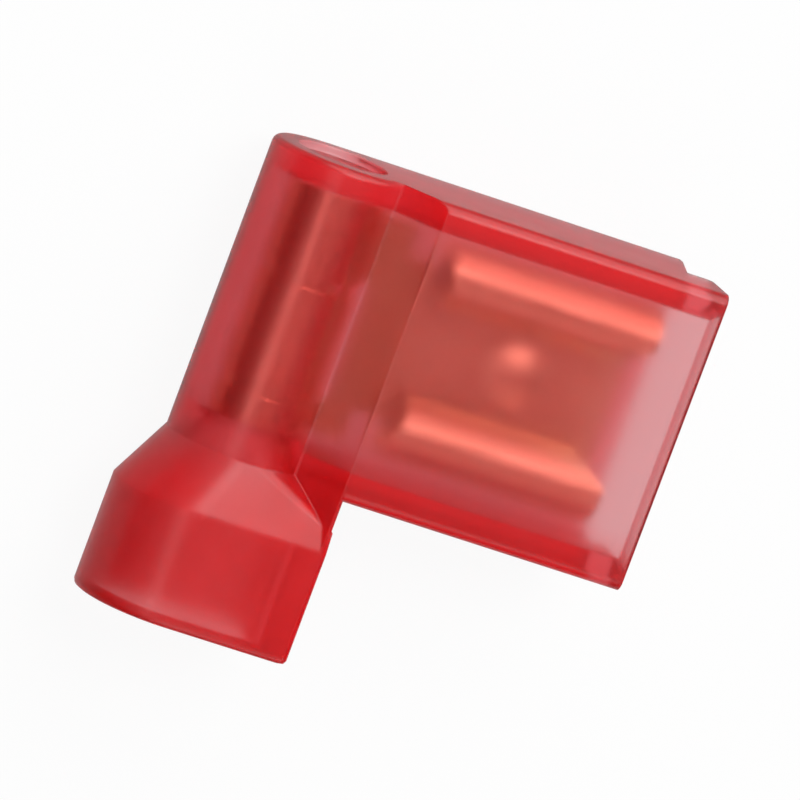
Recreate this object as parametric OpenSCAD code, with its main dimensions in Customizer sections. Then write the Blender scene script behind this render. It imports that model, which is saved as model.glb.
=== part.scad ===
// Fully insulated right-angle (flag) female spade connector for 0.5 to 1.5 mm2 wire.
// Frame: the origin is the centre of the wire barrel's mouth. The barrel runs along +Y to the closed end,
// the wire enters from -Y, the tab enters from +X, and the curls of the receptacle face +Z.

/* [Mating tab] */
// Width of the flat tab that the receptacle takes
tab_w = 6.3; // [4.8:0.1:9.5]
// Thickness of that tab
tab_t = 0.8; // [0.5:0.1:1.2]

/* [Terminal] */
// Thickness of the brass strip that the terminal is stamped from
stock = 0.4; // [0.3:0.05:0.5]
// Bore of the wire barrel
wire_bore_d = 1.8; // [1.4:0.1:2.4]
// Length of the wire barrel
barrel_len = 7.8; // [6.8:0.1:10]
// Length of the receptacle, over its two curls
receptacle_len = 7.2; // [5.5:0.1:9]
// How far the receptacle's width goes beyond the tab's width
receptacle_side = 0.5; // [0.4:0.05:0.8]
// How much narrower than the tab's thickness the unloaded gap under the curls is
grip = 0.15; // [0.05:0.05:0.3]
// Distance from the barrel's axis to the rear end of the curls
curl_start = 4.45; // [4.2:0.05:6]
// How far the curls stand past the front edge of the base plate
curl_past_base = 0.25; // [0:0.05:0.6]
// Width of the relief notch between the flat neck and each curl
relief_w = 0.9; // [0.15:0.05:1.2]
// Length of the slanted cut at the front of each rolled edge, where the tab is led in
lead_len = 1.1; // [0.4:0.1:1.6]
// Depth of that cut into the rolled edge, at its front
lead_depth = 0.85; // [0.4:0.05:1.2]
// How far the rolled edge is cut back at its rear end
rear_cut = 0.3; // [0.1:0.05:0.6]
// Depth of that rear cut from the crest of the curl towards the middle
rear_slope = 1.15; // [0.6:0.05:1.6]
// Distance from the wire barrel's mouth to the middle of the first groove pressed round it
groove_first = 1.15; // [0.8:0.05:2]
// Distance between the middles of the two grooves
groove_pitch = 3.73; // [2:0.01:4.5]
// Width of each groove
groove_w = 0.42; // [0.2:0.02:0.6]
// Depth of each groove
groove_depth = 0.1; // [0.02:0.01:0.12]
// Length of the window in the neck, along the barrel
window_len = 4; // [2:0.1:5]
// Far edge of the window, from the barrel's axis
window_end = 2.7; // [2.2:0.1:3.2]
// Distance from the wire barrel's mouth to the middle of the window
window_mid = 3.15; // [2.5:0.05:5]
// Gap at the butt seam of the rolled barrel
seam = 0.05; // [0.03:0.01:0.1]
// Footprint diameter of the locking dimple in the base plate
dimple_d = 2; // [1:0.1:2.4]
// Height of the locking dimple
dimple_h = 0.25; // [0.15:0.05:0.4]

/* [Housing] */
// Outer diameter of the housing's barrel
sleeve_d = 4.6; // [4.4:0.1:5.4]
// Thickness of the wall at the closed end and at the side next to it
end_wall = 0.95; // [0.7:0.05:1.3]
// Thickness of the wall on the wire side of the box
lower_wall = 0.92; // [0.7:0.01:1.3]
// Thickness of the front wall, over the curls and in the web
front_wall = 0.6; // [0.5:0.05:1.1]
// Height of the box's front face above the barrel's axis
box_front = 2.7; // [2.6:0.1:3.4]
// Height of the web's front face above the barrel's axis
web_front = 1.6; // [1.5:0.05:2]
// Distance from the barrel's axis to the foot of the ramp that rises from the web to the box
ramp_start = 1.7; // [1.4:0.05:2.2]
// Distance from the barrel's axis to the top of that ramp, where the box begins
box_start = 3.05; // [2.8:0.05:3.1]
// Depth of the box's flat back below the barrel's axis
box_back = 2.4; // [2.3:0.05:2.8]
// Distance from the front of the curls to the edge of the mouth's front lip
mouth_depth = 1.1; // [0.5:0.05:2]
// How far the mouth's front lip stands past the side walls, where it leaves them
lip_len = 0.88; // [0.5:0.02:1]
// How far the mouth's front lip stands past the back wall
back_lip = 0.45; // [0.3:0.05:0.5]
// Height of the straight end of the side walls, above the flat back
back_rise = 0.7; // [0.4:0.1:1.6]
// Height above the barrel's axis where the lip begins
lip_z = 0.4; // [0:0.05:1]
// Room between the receptacle and the walls on either side of it
side_room = 0.45; // [0.2:0.05:0.8]
// Depth of the shallow round recess in the closed end
recess_depth = 0.25; // [0.1:0.05:0.4]
// Diameter of that recess
recess_d = 3; // [2:0.1:3.6]

/* [Wire entry] */
// Distance from the barrel's axis to the round side of the flared entry
flare_left = 3.42; // [3.2:0.02:4]
// Distance from the barrel's axis to the flat side of the flared entry
flare_right = 3.28; // [3.26:0.02:3.6]
// Distance from the barrel's axis to the edge of the gusset between the flared entry and the box
gusset_right = 3.16; // [3.12:0.02:3.2]
// Thickness of the flared entry's wall
flare_wall = 0.7; // [0.5:0.05:0.9]
// Length of the straight part of the flared entry
flare_len = 3.75; // [3:0.05:6]
// Length of the cone between the barrel and the flared entry
cone_len = 2; // [1.5:0.05:3]
// Length over which the cone opens to its full width on the flat side
cone_side_len = 1.3; // [1:0.05:1.45]
// Distance from the wire barrel's mouth down to the start of the cone
cone_drop = 1.05; // [0.95:0.05:2]
// How much wider than the barrel's bore the funnel ends, in radius
guide_extra = 0.1; // [0.05:0.05:0.2]

/* [Fits and edges] */
// Clearance between the terminal and the housing
fit = 0.05; // [0.02:0.01:0.1]
// Radius of the box's long edges
box_edge = 0.35; // [0.2:0.05:0.5]
// Radius of the edge round the closed end
cap_edge = 0.25; // [0.15:0.05:0.4]
// Radius of the lip's corners at the mouth
mouth_corner = 0.25; // [0.1:0.05:0.35]
// Radius of the flared entry's corners on its flat side
flare_corner = 0.2; // [0.1:0.05:0.4]
// Radius of the bore's corners on that side
bore_corner = 1.2; // [0.6:0.1:1.6]
// Chamfer along the front and back edges of the gusset
gusset_edge = 0.1; // [0.06:0.01:0.12]
// Width of the rim's softened outer edge
rim_edge = 0.16; // [0.04:0.02:0.24]
// Lead-in chamfer at the mouth and at the wire entry
lead_in = 0.3; // [0.1:0.05:0.4]

/* [Hidden] */
$fn = 64;
// Overlap that lets a cut pass its surface
cut = 0.1;
// Thickness of the slices that the cone, the rim and the funnel run between
slice = 0.02;

barrel_ir = wire_bore_d / 2;
barrel_or = barrel_ir + stock;
sleeve_r = sleeve_d / 2;

// Each curl's edge comes back to half its own height, where it faces the tab
curl_r = stock + tab_t - grip;

// Heights along Z
plate_z0 = -barrel_or;
plate_z1 = plate_z0 + stock;
cavity_z0 = -(barrel_or + fit);
cavity_z1 = box_front - front_wall;
throat_z1 = web_front - front_wall;
back_z = -box_back;

// Places along Y
cavity_y1 = barrel_len + fit;
closed_y = cavity_y1 + end_wall;
ledge_y = -fit;
receptacle_w = tab_w + 2 * receptacle_side;
cavity_y0 = cavity_y1 - receptacle_w - 2 * side_room;
middle_y = (cavity_y0 + cavity_y1) / 2;
box_y0 = cavity_y0 - lower_wall;
cone_y1 = -cone_drop;
cone_y0 = cone_y1 - cone_len;
rim_y = cone_y0 - flare_len;
cone_side_y = cone_y1 - cone_side_len;

// Places along X
curl_end = curl_start + receptacle_len;
base_end = curl_end - curl_past_base;
mouth_x = curl_end + mouth_depth;
back_end = mouth_x - back_lip;
side_end = mouth_x - lip_len;
window_start = barrel_ir;
seam_x = barrel_ir / 4;
ramp_angle = atan2(box_front - web_front, box_start - ramp_start);
ramp_shift = front_wall * tan(ramp_angle / 2);
dimple_x = (curl_start + curl_end) / 2;

// A cylinder along +Y from y0 to y1
module along_y(r, y0, y1) {
    translate([0, y0, 0]) rotate([-90, 0, 0]) cylinder(r = r, h = y1 - y0);
}

// A slab between two corner points
module slab(low, high) {
    translate(low) cube(high - low);
}

// Extrudes a profile drawn in X and Z along Y, from y0 to y1
module xz_extrude(y0, y1) {
    translate([0, y1, 0]) rotate([90, 0, 0]) linear_extrude(height = y1 - y0) children();
}

// Extrudes a profile drawn in Y and Z along X, from x0 to x1
module yz_extrude(x0, x1) {
    translate([x0, 0, 0]) rotate([90, 0, 90]) linear_extrude(height = x1 - x0) children();
}

// A rectangle with four round corners
module round_rect(low, high, r) {
    translate(low + [r, 0]) square(high - low - [2 * r, 0]);
    translate(low + [0, r]) square(high - low - [0, 2 * r]);
    for (u = [low.x + r, high.x - r], v = [low.y + r, high.y - r]) translate([u, v]) circle(r = r);
}

// The points that round the corner at b, between the sides towards a and c, with radius r in n steps
function corner_arc(a, b, c, r, n = 5) =
    let (
        u = (a - b) / norm(a - b),
        v = (c - b) / norm(c - b),
        half = acos(u * v) / 2,
        middle = b + (u + v) / norm(u + v) * r / sin(half),
        from = b + u * r / tan(half) - middle,
        to = b + v * r / tan(half) - middle,
        sweep = 180 - 2 * half,
        turn = from.x * to.y - from.y * to.x > 0 ? 1 : -1
    )
    [for (i = [0 : n]) middle + [
        from.x * cos(turn * sweep * i / n) - from.y * sin(turn * sweep * i / n),
        from.x * sin(turn * sweep * i / n) + from.y * cos(turn * sweep * i / n)
    ]];

// The barrel, turned about the wire's axis, with the soft edge of its closed end
module sleeve_outside() {
    corners = [[sleeve_r, cone_y1], [sleeve_r, closed_y], [0, closed_y]];
    edge = corner_arc(corners[0], corners[1], corners[2], cap_edge);
    rotate([-90, 0, 0]) rotate_extrude() polygon(concat([[0, cone_y1], corners[0]], edge, [corners[2]]));
}

// A section in X and Z: round on the left, and flat on its other sides
module oval(left, right, front, back, corner) {
    r = (front + back) / 2;
    middle = (front - back) / 2;
    centre = r - left;
    translate([centre, middle]) circle(r = r);
    translate([centre, -back]) square([right - corner - centre, 2 * r]);
    translate([centre, corner - back]) square([right - centre, 2 * (r - corner)]);
    for (side = [-1, 1]) translate([right - corner, middle + side * (r - corner)]) circle(r = corner);
}

// The flared entry's section, drawn in by inset
module flare_section(inset, corner) {
    oval(flare_left - inset, flare_right - inset, box_front - inset, box_back - inset, corner);
}

// The cone's section where its flat side has opened to the full width and its other sides are on their way
module cone_section() {
    share = cone_side_len / cone_len;
    left = sleeve_r + (flare_left - sleeve_r) * share;
    front = sleeve_r + (box_front - sleeve_r) * share;
    back = sleeve_r + (box_back - sleeve_r) * share;
    oval(left, flare_right, front, back, flare_corner);
}

// The flared entry and the cone that runs from it to the round barrel
module flare_outside() {
    soft = rim_edge * 0.3;
    xz_extrude(rim_y + rim_edge, cone_y0) flare_section(0, flare_corner);
    hull() {
        along_y(sleeve_r, cone_y1 - slice, cone_y1);
        xz_extrude(cone_side_y, cone_side_y + slice) cone_section();
    }
    hull() {
        xz_extrude(cone_side_y, cone_side_y + slice) cone_section();
        xz_extrude(cone_y0, cone_y0 + slice) flare_section(0, flare_corner);
    }
    hull() {
        xz_extrude(rim_y, rim_y + slice) flare_section(rim_edge, flare_corner);
        xz_extrude(rim_y + soft, rim_y + soft + slice) flare_section(soft, flare_corner);
        xz_extrude(rim_y + rim_edge, rim_y + rim_edge + slice) flare_section(0, flare_corner);
    }
}

// The web beside the barrel, the ramp up to the box, and the gusset they run on into as far as the flare
module flank() {
    intersection() {
        xz_extrude(cone_y0, closed_y) polygon([
            [0, web_front],
            [ramp_start, web_front],
            [box_start, box_front],
            [gusset_right - gusset_edge, box_front],
            [gusset_right, box_front - gusset_edge],
            [gusset_right, back_z + gusset_edge],
            [gusset_right - gusset_edge, back_z],
            [ramp_start, back_z],
            [0, cut / 2 - sleeve_r]
        ]);
        yz_extrude(0, gusset_right) round_rect([rim_y, back_z], [closed_y, box_front], box_edge);
    }
}

// The box round the receptacle; at the mouth the side walls slant back from the back wall to the front lip
module box_outside() {
    past = 2 * mouth_corner;
    intersection() {
        yz_extrude(box_start, mouth_x) round_rect([box_y0, back_z], [closed_y, box_front], box_edge);
        xz_extrude(box_y0, closed_y) union() {
            round_rect([box_start - past, lip_z], [mouth_x, box_front + past], mouth_corner);
            polygon([
                [box_start, back_z - cut],
                [back_end, back_z - cut],
                [back_end, back_z + back_rise],
                [side_end, lip_z],
                [side_end, lip_z + mouth_corner],
                [box_start, lip_z + mouth_corner]
            ]);
        }
    }
}

// The space that the terminal slides into: floor, snap throat, ramp, box and the lead-in of the mouth
module cavity() {
    tall = lead_in + 2 * cut;
    height = cavity_z1 - cavity_z0 + 2 * tall;
    intersection() {
        xz_extrude(cavity_y0 - lead_in, cavity_y1 + lead_in) polygon([
            [0, cavity_z0],
            [back_end - lead_in, cavity_z0],
            [back_end, cavity_z0 - lead_in],
            [mouth_x + cut, cavity_z0 - lead_in],
            [mouth_x + cut, cavity_z1 + lead_in + cut],
            [mouth_x - lead_in, cavity_z1],
            [box_start + ramp_shift, cavity_z1],
            [ramp_start + ramp_shift, throat_z1],
            [0, throat_z1]
        ]);
        translate([0, 0, cavity_z0 - tall]) linear_extrude(height = height) polygon([
            [0, ledge_y],
            [barrel_or, ledge_y],
            [barrel_or + ledge_y - cavity_y0, cavity_y0],
            [mouth_x - lead_in, cavity_y0],
            [mouth_x + cut, cavity_y0 - lead_in - cut],
            [mouth_x + cut, cavity_y1 + lead_in + cut],
            [mouth_x - lead_in, cavity_y1],
            [0, cavity_y1]
        ]);
    }
    along_y(barrel_or + fit, ledge_y, cavity_y1);
}

// The wire's way in: the bore of the flared entry, then a funnel that ends at the wire barrel
module wire_way() {
    mouth = flare_wall - lead_in;
    xz_extrude(rim_y - cut, cone_y0) flare_section(flare_wall, bore_corner);
    hull() {
        xz_extrude(rim_y - cut, rim_y) flare_section(mouth, bore_corner);
        xz_extrude(rim_y + lead_in, rim_y + lead_in + slice) flare_section(flare_wall, bore_corner);
    }
    hull() {
        xz_extrude(cone_y0 - slice, cone_y0) flare_section(flare_wall, bore_corner);
        along_y(barrel_ir + guide_extra, ledge_y, ledge_y + cut);
    }
}

module housing() {
    color([0.80, 0.08, 0.14, 0.6]) difference() {
        union() {
            sleeve_outside();
            flare_outside();
            flank();
            box_outside();
        }
        cavity();
        wire_way();
        along_y(recess_d / 2, closed_y - recess_depth, closed_y + cut);
    }
}

// One curl in section, on the side of +Y: it rolls up from the plate and over, and its edge faces the tab
module curl_section() {
    centre = [receptacle_w / 2 - curl_r, curl_r];
    translate(centre) difference() {
        circle(r = curl_r);
        circle(r = curl_r - stock);
        translate([-2 * curl_r, -2 * curl_r]) square(2 * curl_r);
    }
    square([receptacle_w / 2 - curl_r, stock]);
}

// Both curls and the base plate between them, with the slanted rear ends of the rolled edges
module receptacle() {
    crest = receptacle_w / 2 - curl_r;
    inner_lip = crest - curl_r;
    rear_end = curl_start + rear_cut;
    translate([0, middle_y, plate_z0]) difference() {
        for (side = [0, 1]) mirror([0, side, 0]) yz_extrude(curl_start, curl_end) curl_section();
        slab([base_end, -crest, -cut], [curl_end + cut, crest, stock + cut]);
        for (side = [0, 1]) mirror([0, side, 0]) translate([0, 0, curl_r])
            linear_extrude(height = 2 * curl_r) polygon([
                [curl_start - cut, 0],
                [rear_end, 0],
                [rear_end, crest + curl_r / 2 - rear_slope],
                [curl_start - cut, crest + curl_r / 2]
            ]);
        for (side = [0, 1]) mirror([0, side, 0]) translate([0, 0, curl_r])
            linear_extrude(height = 2 * curl_r) polygon([
                [curl_end + cut, inner_lip - cut],
                [curl_end - lead_len, inner_lip - cut],
                [curl_end - lead_len, inner_lip],
                [curl_end + cut, inner_lip + lead_depth]
            ]);
    }
}

// The dimple that drops into the hole of the tab, pressed up out of the base plate
module dimple(r_extra) {
    foot = dimple_d / 2;
    ball = (foot * foot + dimple_h * dimple_h) / (2 * dimple_h);
    translate([dimple_x, middle_y, plate_z1 + dimple_h - ball - stock]) intersection() {
        sphere(r = ball + r_extra);
        translate([-foot * 2, -foot * 2, ball - dimple_h]) cube([foot * 4, foot * 4, 2 * dimple_h + stock]);
    }
}

// The flat neck from the barrel to the receptacle, with its window; it stays clear of the barrel's mouth
module neck() {
    half = receptacle_w / 2;
    difference() {
        slab([0, middle_y - half, plate_z0], [curl_start + cut, middle_y + half, plate_z1]);
        slab(
            [window_start, window_mid - window_len / 2, plate_z0 - cut],
            [window_end, window_mid + window_len / 2, plate_z1 + cut]
        );
        for (side = [-1, 1]) translate([0, middle_y + side * half, 0])
            slab(
                [curl_start - relief_w, -curl_r, plate_z0 - cut],
                [curl_start, curl_r, plate_z1 + cut]
            );
        translate([0, 0, plate_z0 - cut]) linear_extrude(height = stock + 2 * cut) polygon([
            [-cut, 0],
            [barrel_or, 0],
            [barrel_or + receptacle_w, -receptacle_w],
            [-cut, -receptacle_w]
        ]);
    }
}

// The rolled wire barrel, with the seam where its edge comes back to the plate
module wire_barrel() {
    difference() {
        union() {
            along_y(barrel_or, 0, barrel_len);
            neck();
        }
        along_y(barrel_ir, -cut, barrel_len + cut);
        for (y = [groove_first, groove_first + groove_pitch]) difference() {
            along_y(barrel_or + cut, y - groove_w / 2, y + groove_w / 2);
            along_y(barrel_or - groove_depth, y - groove_w, y + groove_w);
            slab([0, y - groove_w, plate_z0 - cut], [barrel_or + 2 * cut, y + groove_w, plate_z1]);
        }
        slab([seam_x, -cut, plate_z1], [barrel_or, barrel_len + cut, plate_z1 + seam]);
    }
}

module terminal() {
    color([0.78, 0.50, 0.34]) union() {
        wire_barrel();
        difference() {
            receptacle();
            dimple(0);
        }
        difference() {
            dimple(stock);
            dimple(0);
        }
    }
}

housing();
terminal();
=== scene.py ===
import math

import bmesh

import bpy
from mathutils import Matrix, Vector


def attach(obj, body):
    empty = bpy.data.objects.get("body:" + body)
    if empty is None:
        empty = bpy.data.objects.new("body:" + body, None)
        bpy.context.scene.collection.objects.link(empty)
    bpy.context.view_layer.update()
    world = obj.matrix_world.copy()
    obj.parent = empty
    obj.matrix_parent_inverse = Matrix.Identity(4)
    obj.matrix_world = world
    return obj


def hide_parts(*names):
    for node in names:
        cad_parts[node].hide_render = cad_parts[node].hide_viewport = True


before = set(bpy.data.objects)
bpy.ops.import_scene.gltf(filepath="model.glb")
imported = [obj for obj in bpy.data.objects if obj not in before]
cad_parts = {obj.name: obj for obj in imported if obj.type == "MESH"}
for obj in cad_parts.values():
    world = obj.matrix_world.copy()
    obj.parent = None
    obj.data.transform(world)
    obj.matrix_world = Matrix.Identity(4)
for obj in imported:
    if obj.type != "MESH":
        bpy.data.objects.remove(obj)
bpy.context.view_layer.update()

MM = 0.001

# Nylon: clear red body and a milky share, which grows along -Y from the barrel's foot into the flare
NYLON_IOR = 1.45
NYLON_ROUGH = (0.285, 0.34)
NYLON_TINT = (0.99, 0.08, 0.15)
NYLON_DENSITY = 860
MILK_TINTS = ((0.78, 0.004, 0.008), (0.85, 0.008, 0.014))
MILK_RADIUS = (1.0, 0.1, 0.1)
MILK_DEPTH_MM = 1.2
MILK_SHARE = 0.16
MILK_SHARE_FLARE = 0.5
FLARE_START_MM = 0.6
FLARE_END_MM = -2.5
SKIN_PER_MM = 0.8
SKIN_DEPTH_MM = 0.02
SKIN_STRENGTH = 0.14
POLISH_PER_MM = 0.5

# Brass: rolled strip with lines along X, and tarnish
BRASS_TINTS = ((0.82, 0.60, 0.38), (0.92, 0.72, 0.48))
BRASS_ROUGH = (0.285, 0.365)
TARNISH_PER_MM = 0.35
LINES_PER_MM = 4
LINES_STRETCH = (0.08, 1, 1)
LINES_DEPTH_MM = 0.01
LINES_STRENGTH = 0.6

# Softness of the shading over a sharp edge
SOFT_SAMPLES = 8
NYLON_SOFT_MM = 0.12
BRASS_SOFT_MM = 0.05

# Merged shapes: short facets hold the true round on their sharp edges to about 0.001 mm on the nylon and
# 0.004 mm on the brass, far under the width asked for, and there it keeps the shading even
SHARP_ANGLE = math.radians(25)
FLAT_ANGLE = math.radians(0.4)
MERGE_MM = 0.0005
NYLON_EDGE_MM = 0.06
BRASS_EDGE_MM = 0.03
EDGE_SEGMENTS = 2
FACE_AREA_WEIGHT = 50
CREASE_LOOPS_MM = (-0.9, -1.2, -2.9, -3.2, -6.45)

# Camera: its turn about Y, its tilt, its roll and the photograph's own turn in degrees; then where the closed
# end's centre lies in the picture, across and along the part, and the picture's width at that distance
CLOSED_END_MM = (0, 8.8, 0)
CAMERA_YAW = math.radians(17.192)
CAMERA_PITCH = math.radians(8.302)
CAMERA_ROLL = math.radians(20.558)
CAMERA_TURN = math.radians(1.158)
CAMERA_DISTANCE_MM = 387.118
CLOSED_END_ACROSS_MM = -4.213
CLOSED_END_ALONG_MM = 6.612
VIEW_WIDTH_MM = 25.157
CAMERA_SENSOR = 36
CAMERA_CLIP = (0.01, 10)

# Studio: radiance of the walls, the ceiling and each soft box, where the white floor is 1
WALLS = 0.03
CEILING = 0.24
CEILING_SPAN = (0.45, 0.92)
LAMP_DISTANCE = 0.4
LAMP_AIM_MM = (4, 2, 0)
LAMPS = (
    # name, azimuth, elevation, (width, height) in degrees, radiance
    ("behind", 20, 28, (80, 46), 2.8),
    ("left overhead", -105, 72, (30, 16), 1.5),
    ("back overhead", 22, 64, (30, 20), 6.5),
    ("front right", 155, 45, (50, 30), 1.5),
)
FLOOR_HALF = 0.6
FLOOR_Z_MM = -2.42
FLOOR_COLOUR = 0.8
# How much of the floor's plain white each kind of ray meets and how strong that white is; a ray of two kinds
# meets the later row's white
FLOOR_WHITE = (
    ("Is Glossy Ray", 1.0, 0.55),
    ("Is Transmission Ray", 1.0, 0.76),
    ("Is Camera Ray", 0.93, 1.0),
)


def material(name):
    mat = bpy.data.materials.new(name)
    mat.use_nodes = True
    mat.node_tree.nodes.clear()
    return mat, mat.node_tree.nodes, mat.node_tree.links


def grey(value):
    return (value, value, value)


def noise(nodes, links, per_mm, detail, stretch=(1, 1, 1)):
    """Noise in object space with so many waves a millimetre; returns its factor"""
    place = nodes.new("ShaderNodeTexCoord")
    scale = nodes.new("ShaderNodeMapping")
    scale.inputs["Scale"].default_value = [per_mm * share / MM for share in stretch]
    texture = nodes.new("ShaderNodeTexNoise")
    texture.inputs["Scale"].default_value = 1
    texture.inputs["Detail"].default_value = detail
    links.new(place.outputs["Object"], scale.inputs["Vector"])
    links.new(scale.outputs["Vector"], texture.inputs["Vector"])
    return texture.outputs["Fac"]


def ramp(nodes, links, factor, low, high, span=(0.3, 0.7)):
    """A colour that goes from low to high over the given span of the factor"""
    node = nodes.new("ShaderNodeValToRGB")
    for element, place, colour in zip(node.color_ramp.elements, span, (low, high)):
        element.position = place
        element.color = (*colour, 1)
    links.new(factor, node.inputs["Fac"])
    return node.outputs["Color"]


def bump(nodes, links, height, depth_mm, strength, soft_mm):
    """A normal with the given relief, which turns round the piece's edges over soft_mm"""
    edge = nodes.new("ShaderNodeBevel")
    edge.samples = SOFT_SAMPLES
    edge.inputs["Radius"].default_value = soft_mm * MM
    node = nodes.new("ShaderNodeBump")
    links.new(edge.outputs["Normal"], node.inputs["Normal"])
    node.inputs["Strength"].default_value = strength
    node.inputs["Distance"].default_value = depth_mm * MM
    links.new(height, node.inputs["Height"])
    return node.outputs["Normal"]


def milk_share(nodes, links):
    """The milky share of the nylon by its place along Y"""
    place = nodes.new("ShaderNodeTexCoord")
    split = nodes.new("ShaderNodeSeparateXYZ")
    share = nodes.new("ShaderNodeMapRange")
    share.inputs["From Min"].default_value = FLARE_END_MM * MM
    share.inputs["From Max"].default_value = FLARE_START_MM * MM
    share.inputs["To Min"].default_value = MILK_SHARE_FLARE
    share.inputs["To Max"].default_value = MILK_SHARE
    links.new(place.outputs["Object"], split.inputs[0])
    links.new(split.outputs["Y"], share.inputs["Value"])
    return share.outputs["Result"]


def nylon():
    """Clear red nylon, a little milky, with the faint mottle of a moulded skin"""
    mat, nodes, links = material("red_nylon")
    skin = noise(nodes, links, SKIN_PER_MM, 1)
    polish = noise(nodes, links, POLISH_PER_MM, 2)
    normal = bump(nodes, links, skin, SKIN_DEPTH_MM, SKIN_STRENGTH, NYLON_SOFT_MM)
    rough = ramp(nodes, links, polish, grey(NYLON_ROUGH[0]), grey(NYLON_ROUGH[1]))
    clear = nodes.new("ShaderNodeBsdfPrincipled")
    clear.inputs["Base Color"].default_value = (1, 1, 1, 1)
    clear.inputs["Transmission Weight"].default_value = 1
    milky = nodes.new("ShaderNodeBsdfPrincipled")
    milky.inputs["Subsurface Weight"].default_value = 1
    milky.inputs["Subsurface Radius"].default_value = MILK_RADIUS
    milky.inputs["Subsurface Scale"].default_value = MILK_DEPTH_MM * MM
    links.new(ramp(nodes, links, skin, *MILK_TINTS), milky.inputs["Base Color"])
    for shader in (clear, milky):
        shader.inputs["IOR"].default_value = NYLON_IOR
        links.new(rough, shader.inputs["Roughness"])
        links.new(normal, shader.inputs["Normal"])
    mix = nodes.new("ShaderNodeMixShader")
    links.new(milk_share(nodes, links), mix.inputs["Fac"])
    links.new(clear.outputs["BSDF"], mix.inputs[1])
    links.new(milky.outputs["BSDF"], mix.inputs[2])
    volume = nodes.new("ShaderNodeVolumeAbsorption")
    volume.inputs["Color"].default_value = (*NYLON_TINT, 1)
    volume.inputs["Density"].default_value = NYLON_DENSITY
    out = nodes.new("ShaderNodeOutputMaterial")
    links.new(mix.outputs[0], out.inputs["Surface"])
    links.new(volume.outputs["Volume"], out.inputs["Volume"])
    return mat


def brass():
    """Rolled brass strip: faint lines along the strip, patches of tarnish, uneven polish"""
    mat, nodes, links = material("brass")
    tarnish = noise(nodes, links, TARNISH_PER_MM, 4)
    lines = noise(nodes, links, LINES_PER_MM, 3, LINES_STRETCH)
    shader = nodes.new("ShaderNodeBsdfPrincipled")
    shader.inputs["Metallic"].default_value = 1
    rough = ramp(nodes, links, lines, grey(BRASS_ROUGH[0]), grey(BRASS_ROUGH[1]))
    links.new(ramp(nodes, links, tarnish, *BRASS_TINTS), shader.inputs["Base Color"])
    links.new(rough, shader.inputs["Roughness"])
    normal = bump(nodes, links, lines, LINES_DEPTH_MM, LINES_STRENGTH, BRASS_SOFT_MM)
    links.new(normal, shader.inputs["Normal"])
    out = nodes.new("ShaderNodeOutputMaterial")
    links.new(shader.outputs["BSDF"], out.inputs["Surface"])
    return mat


def refined(node, name, mat, edge_mm, loops_mm=()):
    """A copy of a CAD node with its faces merged, its sharp edges rounded and smooth shading; loops_mm are
    places along Y where an edge loop keeps the shading beside a crease from running down the round"""
    shape = bmesh.new()
    shape.from_mesh(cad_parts[node].data)
    bmesh.ops.remove_doubles(shape, verts=shape.verts, dist=MERGE_MM * MM)
    bmesh.ops.dissolve_limit(shape, angle_limit=FLAT_ANGLE, verts=shape.verts, edges=shape.edges)
    for y in loops_mm:
        everything = shape.verts[:] + shape.edges[:] + shape.faces[:]
        bmesh.ops.bisect_plane(shape, geom=everything, plane_co=(0, y * MM, 0), plane_no=(0, 1, 0))
    mesh = bpy.data.meshes.new(name)
    shape.to_mesh(mesh)
    shape.free()
    mesh.materials.append(mat)
    for polygon in mesh.polygons:
        polygon.use_smooth = True
    mesh.set_sharp_from_angle(angle=SHARP_ANGLE)
    obj = bpy.data.objects.new(name, mesh)
    bpy.context.scene.collection.objects.link(obj)
    edge = obj.modifiers.new("edge round", "BEVEL")
    edge.width = edge_mm * MM
    edge.segments = EDGE_SEGMENTS
    edge.limit_method = "ANGLE"
    edge.angle_limit = SHARP_ANGLE
    even = obj.modifiers.new("even shading", "WEIGHTED_NORMAL")
    even.weight = FACE_AREA_WEIGHT
    even.keep_sharp = True
    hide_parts(node)
    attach(obj, "root")


def camera():
    """The photograph's view: looking down on the front from the closed end's side, rolled"""
    level = Vector((math.cos(CAMERA_YAW), 0, math.sin(CAMERA_YAW)))
    flat = math.cos(CAMERA_PITCH)
    back = Vector((-math.sin(CAMERA_YAW) * flat, math.sin(CAMERA_PITCH), math.cos(CAMERA_YAW) * flat))
    upright = back.cross(level)
    across = level * math.cos(CAMERA_TURN) + upright * math.sin(CAMERA_TURN)
    along = upright * math.cos(CAMERA_TURN) - level * math.sin(CAMERA_TURN)
    aside = across * CLOSED_END_ACROSS_MM + along * CLOSED_END_ALONG_MM
    place = Vector(CLOSED_END_MM) + back * CAMERA_DISTANCE_MM - aside
    right = level * math.cos(CAMERA_ROLL) + upright * math.sin(CAMERA_ROLL)
    up = upright * math.cos(CAMERA_ROLL) - level * math.sin(CAMERA_ROLL)
    data = bpy.data.cameras.new("camera")
    data.sensor_width = CAMERA_SENSOR
    data.lens = CAMERA_SENSOR * CAMERA_DISTANCE_MM / VIEW_WIDTH_MM
    data.clip_start, data.clip_end = CAMERA_CLIP
    obj = bpy.data.objects.new("camera", data)
    bpy.context.scene.collection.objects.link(obj)
    obj.matrix_world = Matrix.Translation(place * MM) @ Matrix((right, up, back)).transposed().to_4x4()
    bpy.context.scene.camera = obj


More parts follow.
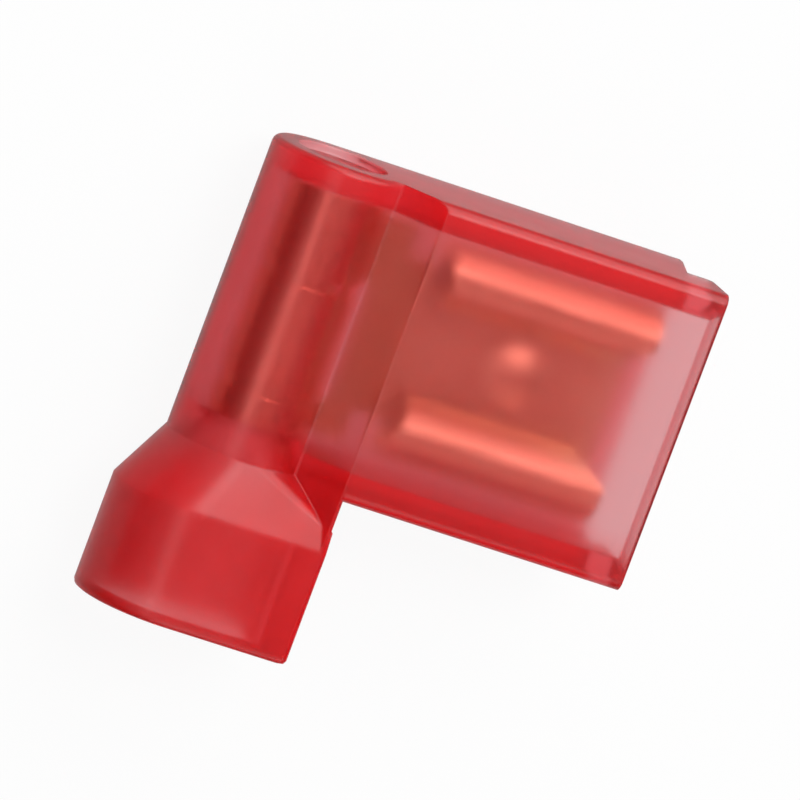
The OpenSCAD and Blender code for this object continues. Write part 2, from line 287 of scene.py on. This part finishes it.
def floor():
    """A pale floor that keeps the part's shadow and is white for the camera"""
    half, z = FLOOR_HALF, FLOOR_Z_MM * MM
    corners = [(-half, -half, z), (half, -half, z), (half, half, z), (-half, half, z)]
    mesh = bpy.data.meshes.new("floor")
    mesh.from_pydata(corners, [], [(0, 1, 2, 3)])
    mat, nodes, links = material("floor")
    diffuse = nodes.new("ShaderNodeBsdfDiffuse")
    diffuse.inputs["Color"].default_value = (*grey(FLOOR_COLOUR), 1)
    path = nodes.new("ShaderNodeLightPath")
    surface = diffuse.outputs[0]
    for ray, share, strength in FLOOR_WHITE:
        white = nodes.new("ShaderNodeEmission")
        white.inputs["Strength"].default_value = strength
        part = nodes.new("ShaderNodeMath")
        part.operation = "MULTIPLY"
        part.inputs[1].default_value = share
        mix = nodes.new("ShaderNodeMixShader")
        links.new(path.outputs[ray], part.inputs[0])
        links.new(part.outputs[0], mix.inputs["Fac"])
        links.new(surface, mix.inputs[1])
        links.new(white.outputs[0], mix.inputs[2])
        surface = mix.outputs[0]
    out = nodes.new("ShaderNodeOutputMaterial")
    links.new(surface, out.inputs["Surface"])
    mesh.materials.append(mat)
    obj = bpy.data.objects.new("floor", mesh)
    bpy.context.scene.collection.objects.link(obj)


def toward(azimuth, elevation):
    """A direction by its azimuth from +Y towards +X and its elevation, in degrees"""
    azimuth, elevation = math.radians(azimuth), math.radians(elevation)
    flat = math.cos(elevation)
    return Vector((math.sin(azimuth) * flat, math.cos(azimuth) * flat, math.sin(elevation)))


def lamp(name, azimuth, elevation, size, radiance):
    """A soft box at a fixed distance, facing the part"""
    data = bpy.data.lights.new(name, "AREA")
    data.shape = "RECTANGLE"
    data.size, data.size_y = [2 * LAMP_DISTANCE * math.tan(math.radians(angle / 2)) for angle in size]
    data.energy = radiance * math.pi * data.size * data.size_y
    obj = bpy.data.objects.new(name, data)
    bpy.context.scene.collection.objects.link(obj)
    obj.location = Vector(LAMP_AIM_MM) * MM + toward(azimuth, elevation) * LAMP_DISTANCE
    obj.rotation_mode = "QUATERNION"
    obj.rotation_quaternion = (-toward(azimuth, elevation)).to_track_quat("-Z", "Y")


def room():
    """Dark walls under a pale ceiling"""
    world = bpy.data.worlds.new("room")
    bpy.context.scene.world = world
    world.use_nodes = True
    nodes, links = world.node_tree.nodes, world.node_tree.links
    place = nodes.new("ShaderNodeTexCoord")
    split = nodes.new("ShaderNodeSeparateXYZ")
    links.new(place.outputs["Generated"], split.inputs[0])
    height = ramp(nodes, links, split.outputs["Z"], grey(WALLS), grey(CEILING), CEILING_SPAN)
    links.new(height, nodes["Background"].inputs["Color"])
    nodes["Background"].inputs["Strength"].default_value = 1


refined("housing", "nylon_housing", nylon(), NYLON_EDGE_MM, CREASE_LOOPS_MM)
refined("terminal", "brass_terminal", brass(), BRASS_EDGE_MM)
camera()
floor()
room()
for row in LAMPS:
    lamp(*row)
bpy.context.scene.view_settings.view_transform = "Standard"
